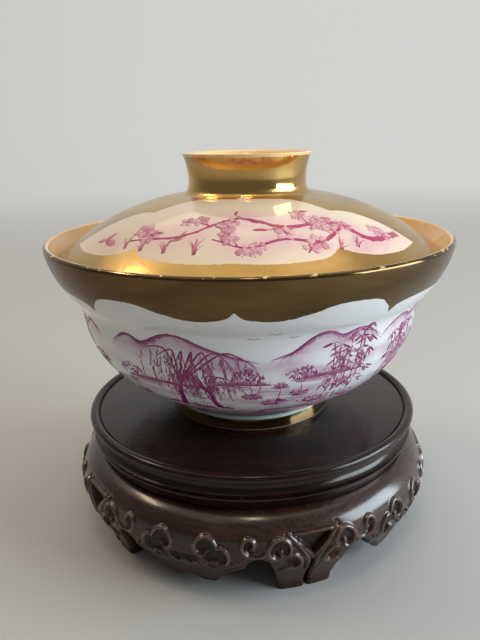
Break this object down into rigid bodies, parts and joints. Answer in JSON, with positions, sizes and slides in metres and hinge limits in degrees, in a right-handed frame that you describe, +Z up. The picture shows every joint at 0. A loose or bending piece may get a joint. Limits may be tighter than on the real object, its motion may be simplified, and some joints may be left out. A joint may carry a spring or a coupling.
{
  "type": "gaiwan",
  "caption": "Lidded porcelain tea bowl with a flared lip and ring knob, standing on a round carved hardwood stand; lid and bowl lift off for brewing and drinking.",
  "frame": {"origin": "middle of the stand's footprint, on the surface that it stands on", "axes": "+Z up along the turning axis of bowl, lid and stand; -Y is the front, 16.5 degrees left of a foot"},
  "size_m": [0.1121, 0.1122, 0.1055],
  "materials": {
    "gilt_porcelain": "clear glaze over puce painting, with burnished gilding",
    "dark_hardwood": "polished dark hardwood, satin gloss",
    "joinery_wood": "sawn, glued in"
  },
  "bodies": {
    "stand": {"tray_board": "dark_hardwood", "front_block": "dark_hardwood", "right_block": "dark_hardwood", "back_right_block": "dark_hardwood", "back_left_block": "dark_hardwood", "left_block": "dark_hardwood", "joint_splines": "joinery_wood", "tray_dowels": "joinery_wood"},
    "bowl": {"bowl": "gilt_porcelain"},
    "lid": {"lid": "gilt_porcelain"}
  },
  "joints": [
    {"name": "bowl_lift", "type": "slide", "parent": "stand", "child": "bowl", "axis": [0, 0, 1], "range_m": [0, 0.08]},
    {"name": "lid_lift", "type": "slide", "parent": "bowl", "child": "lid", "axis": [0, 0, 1], "range_m": [0, 0.06]}
  ]
}
